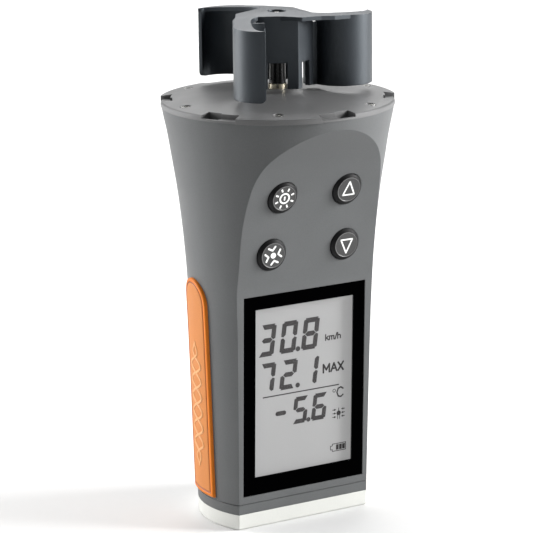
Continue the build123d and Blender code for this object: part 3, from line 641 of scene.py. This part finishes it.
def make_grip(node, name):
    """A rubber pad with a border, a groove, a paler panel and a wave, on the CAD pad's surface."""
    outer, side, low, high = grip_surface(node)
    half = (high.y - low.y) / 2
    centre_y = (high.y + low.y) / 2
    shoulder = high.z - half
    section = GRIP_SECTION + ((half / MM - PANEL_LAST, PANEL_HEIGHT),)
    points, faces, which = [], [], []
    for inset, height in section:
        for y, z in grip_outline(inset * MM, low.z, shoulder, centre_y, half):
            probe_y = centre_y + (y - centre_y) * PROBE_Y
            probe_z = min(max(z, low.z + PROBE_Z * MM), high.z - PROBE_Z * MM)
            x = outer(probe_y, probe_z)
            points.append(Vector((x + side * height * MM, y, z)))
    count = len(points) // len(section)
    for ring in range(len(section) - 1):
        for i in range(count):
            j = (i + 1) % count
            quad = (ring * count + i, ring * count + j, (ring + 1) * count + j,
                    (ring + 1) * count + i)
            faces.append(quad if side > 0 else quad[::-1])
            if ring < BORDER_RINGS:
                which.append(BORDER)
            elif ring < GROOVE_RINGS:
                which.append(GROOVE)
            else:
                which.append(PANEL)

    # Close the slit that is left down the middle of the panel.
    last = (len(section) - 1) * count
    for i in range(SIDE_STEPS):
        right = FOOT_STEPS + i
        left = FOOT_STEPS + 2 * SIDE_STEPS + BEND_STEPS - i
        quad = (last + right, last + right + 1, last + (left - 1) % count, last + left % count)
        faces.append(quad if side > 0 else quad[::-1])
        which.append(PANEL)
    pad = new_piece(name, points, faces, [finish["grip_orange"], panel_orange, groove_orange],
                    "case", which, smooth=True)
    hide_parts(node)

    marks, mark_faces = [], []
    for turn in (0.0, math.pi):
        run = []
        for i in range(WAVE_STEPS + 1):
            t = i / WAVE_STEPS
            fade = min(1.0, WAVE_FADE * t, WAVE_FADE * (1 - t))
            swing = WAVE_SWING * math.sin(t * WAVE_BENDS * math.pi + turn) * fade
            run.append((centre_y + swing * MM, low.z + (WAVE_LOW + WAVE_LONG * t) * MM))
        start = len(marks)
        for i, (y, z) in enumerate(run):
            near, far = run[max(i - 1, 0)], run[min(i + 1, len(run) - 1)]
            along = Vector((far[0] - near[0], far[1] - near[1])).normalized()
            x = outer(y, z)
            for offset, height in WAVE_SECTION:
                marks.append(Vector((x + side * height * MM, y - along.y * offset * MM,
                                     z + along.x * offset * MM)))
        wide = len(WAVE_SECTION)
        for i in range(WAVE_STEPS):
            for k in range(wide - 1):
                a = start + i * wide + k
                quad = (a, a + 1, a + wide + 1, a + wide)
                mark_faces.append(quad[::-1] if side > 0 else quad)
    new_piece(name + "_waves", marks, mark_faces, [wave_orange], "case")


make_grip("left_grip", "left_grip_pad")
make_grip("right_grip", "right_grip_pad")


# ---- floor, light and camera -------------------------------------------------------------
AZIMUTH, ELEVATION, ROLL = -30.07, 13.986, -0.714
DISTANCE, AIM_SIDE, AIM_HEIGHT, LENS = 0.865, -0.00424, 0.08169, 180.76
SENSOR, CLIP_START, CLIP_END = 36.0, 0.01, 50.0
FLOOR_NEAR, FLOOR_FAR, FLOOR_HALF = -6.0, 2.4, 7.0
CURVE_RADIUS, CURVE_STEPS, WALL_TOP = 1.2, 12, 6.0
MIDDLE = (0, 0, 0.08)
# Each light: its name, place, the point it is aimed at, its size in metres and its watts.
LIGHTS = (
    ("key", (1.20, -0.70, 0.56), MIDDLE, 0.7, 47.0),
    ("rim", (-1.02, 1.08, 0.48), MIDDLE, 0.8, 31.0),
    ("top", (0.1, 0.1, 1.5), MIDDLE, 1.2, 4.0),
    ("floor_fill", (-0.45, 0.30, 0.80), (-0.25, 0.15, 0), 0.6, 2.0),
    ("back", (0.75, 1.35, 1.2), (0.6, 1.0, 0), 1.4, 24.0),
)
ROOM_LIGHT = 0.14


def make_stage():
    """A pale floor that curves up into a wall far behind the object."""
    white = make_material("studio_paper", (0.72, 0.72, 0.717), 0.9, grain=3.0, spread=0.006,
                          bump=0.01, patch=300)
    profile = [(FLOOR_NEAR, 0.0), (FLOOR_FAR, 0.0)]
    for i in range(1, CURVE_STEPS + 1):
        a = math.radians(90 * i / CURVE_STEPS)
        profile.append((FLOOR_FAR + CURVE_RADIUS * math.sin(a),
                        CURVE_RADIUS - CURVE_RADIUS * math.cos(a)))
    profile.append((FLOOR_FAR + CURVE_RADIUS, WALL_TOP))
    points, faces = [], []
    for x in (-FLOOR_HALF, FLOOR_HALF):
        points += [(x, y, z) for y, z in profile]
    count = len(profile)
    for i in range(count - 1):
        faces.append((i, count + i, count + i + 1, i + 1))
    mesh = bpy.data.meshes.new("floor")
    mesh.from_pydata(points, [], faces)
    mesh.polygons.foreach_set("use_smooth", [True] * len(faces))
    mesh.materials.append(white)
    floor = bpy.data.objects.new("floor", mesh)
    floor.rotation_euler = (0, 0, math.radians(AZIMUTH))
    bpy.context.scene.collection.objects.link(floor)


def area_light(name, place, target, size, power):
    """A soft square light aimed at a point."""
    data = bpy.data.lights.new(name, "AREA")
    data.shape = "SQUARE"
    data.size = size
    data.energy = power
    lamp = bpy.data.objects.new(name, data)
    lamp.location = place
    aim = Vector(place) - Vector(target)
    lamp.rotation_euler = aim.to_track_quat("Z", "Y").to_euler()
    bpy.context.scene.collection.objects.link(lamp)


make_stage()
for light in LIGHTS:
    area_light(*light)
world = bpy.data.worlds.new("studio")
world.use_nodes = True
world.node_tree.nodes["Background"].inputs["Color"].default_value = WHITE
world.node_tree.nodes["Background"].inputs["Strength"].default_value = ROOM_LIGHT
bpy.context.scene.world = world
bpy.context.scene.view_settings.view_transform = "Standard"

az, el, roll = (math.radians(v) for v in (AZIMUTH, ELEVATION, ROLL))
back = Vector((math.sin(az) * math.cos(el), -math.cos(az) * math.cos(el), math.sin(el)))
aim = Vector((AIM_SIDE * math.cos(az), AIM_SIDE * math.sin(az), AIM_HEIGHT))
right = (-back).cross(Vector((0, 0, 1))).normalized()
up = right.cross(-back)
turned_right = math.cos(roll) * right + math.sin(roll) * up
turned_up = -math.sin(roll) * right + math.cos(roll) * up
lens = bpy.data.cameras.new("camera")
lens.lens = LENS
lens.sensor_width = SENSOR
lens.clip_start = CLIP_START
lens.clip_end = CLIP_END
camera = bpy.data.objects.new("camera", lens)
rotation = Matrix((turned_right, turned_up, back)).transposed().to_4x4()
camera.matrix_world = Matrix.Translation(aim + back * DISTANCE) @ rotation
bpy.context.scene.collection.objects.link(camera)
bpy.context.scene.camera = camera
